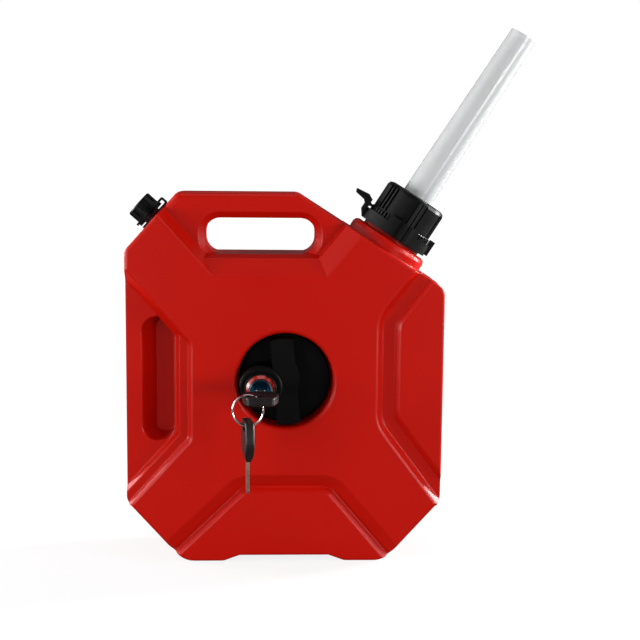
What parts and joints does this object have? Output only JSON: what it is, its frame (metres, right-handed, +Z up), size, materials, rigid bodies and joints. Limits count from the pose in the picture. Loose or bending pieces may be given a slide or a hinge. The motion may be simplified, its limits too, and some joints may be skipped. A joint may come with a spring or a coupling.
{
  "type": "locking fuel can",
  "caption": "Flat fuel can with a through well, a key-locked mounting knob and rear base, a screw-on pouring spout with a locking collar, and a tethered vent cap.",
  "frame": {"origin": "middle of the whole object's box, at its base, on the ground", "axes": "+X towards the spout, +Z up, -Y out of the front with the knob and lock"},
  "size_m": [0.3158, 0.1429, 0.4166],
  "materials": {
    "red_plastic": "semi-gloss polyethylene",
    "black_plastic": "satin",
    "clear_plastic": "milky",
    "rubber": "matt",
    "blue_plastic": "glossy",
    "chrome": "bright",
    "steel": "zinc plated",
    "brass": "plain"
  },
  "bodies": {
    "can": {"can_body": "red_plastic", "lock_ring": "black_plastic", "vent_tether": "black_plastic"},
    "release_tab": {"release_tab": "black_plastic"},
    "spout": {"spout_tube": "clear_plastic", "spout_gasket": "rubber"},
    "collar": {"spout_collar": "black_plastic"},
    "vent_seal": {"vent_gasket": "rubber"},
    "vent_cap": {"vent_cap": "black_plastic"},
    "mount": {"mount_base": "black_plastic", "post_nut": "brass"},
    "knob_carrier": {"knob_washer": "black_plastic"},
    "knob": {"knob": "black_plastic", "knob_stud": "steel", "lock_barrel": "black_plastic", "lock_bezel": "chrome"},
    "plug": {"lock_plug": "blue_plastic", "lock_wafers": "brass", "lock_clip": "steel", "lock_cam": "steel", "cam_screw": "steel"},
    "key": {"key_blade": "steel", "key_head": "black_plastic"},
    "ring": {"split_ring": "steel"},
    "spare_key": {"spare_key_blade": "steel", "spare_key_head": "black_plastic"}
  },
  "joints": [
    {"name": "spout_rise", "type": "slide", "parent": "can", "child": "spout", "axis": [0.5373, 0, 0.8434], "range_m": [0, 0.008]},
    {"name": "collar_turn", "type": "hinge", "parent": "spout", "child": "collar", "pos_m": [0.05928, 0.03392, 0.27017], "axis": [0.5373, 0, 0.8434], "range_deg": [0, 720]},
    {"name": "release_tab_flex", "type": "hinge", "parent": "can", "child": "release_tab", "pos_m": [0.02678, 0.03392, 0.27629], "axis": [0, -1, 0], "range_deg": [0, 12], "stiffness_Nm_per_rad": 0.4},
    {"name": "vent_rise", "type": "slide", "parent": "can", "child": "vent_seal", "axis": [-0.7455, 0, 0.6665], "range_m": [0, 0.006]},
    {"name": "vent_cap_turn", "type": "hinge", "parent": "vent_seal", "child": "vent_cap", "pos_m": [-0.14342, 0.03392, 0.27311], "axis": [-0.7455, 0, 0.6665], "range_deg": [0, 720]},
    {"name": "knob_rise", "type": "slide", "parent": "can", "child": "knob_carrier", "axis": [0, -1, 0], "range_m": [0, 0.003]},
    {"name": "knob_turn", "type": "hinge", "parent": "knob_carrier", "child": "knob", "pos_m": [-0.03492, 0.01392, 0.145], "axis": [0, -1, 0], "range_deg": [0, 720]},
    {"name": "lock_turn", "type": "hinge", "parent": "knob", "child": "plug", "pos_m": [-0.05379, -0.00607, 0.14054], "axis": [0, 1, 0], "range_deg": [0, 90]},
    {"name": "key_slide", "type": "slide", "parent": "plug", "child": "key", "axis": [0, -1, 0], "range_m": [-0.01, 0.014]},
    {"name": "ring_swing", "type": "hinge", "parent": "key", "child": "ring", "pos_m": [-0.05412, -0.05777, 0.14054], "axis": [0, 1, 0], "range_deg": [0, 16]},
    {"name": "spare_key_swing", "type": "hinge", "parent": "ring", "child": "spare_key", "pos_m": [-0.06299, -0.05777, 0.12224], "axis": [1, 0, 0], "range_deg": [-12, 12]},
    {"name": "base_release", "type": "slide", "parent": "can", "child": "mount", "axis": [0, 1, 0], "range_m": [0, 0.06]}
  ],
  "couplings": [
    {"joint": "collar_turn", "follows": "spout_rise", "rad_per_m": 1570.8},
    {"joint": "vent_cap_turn", "follows": "vent_rise", "rad_per_m": 2094.4},
    {"joint": "knob_turn", "follows": "knob_rise", "rad_per_m": 4188.8}
  ]
}
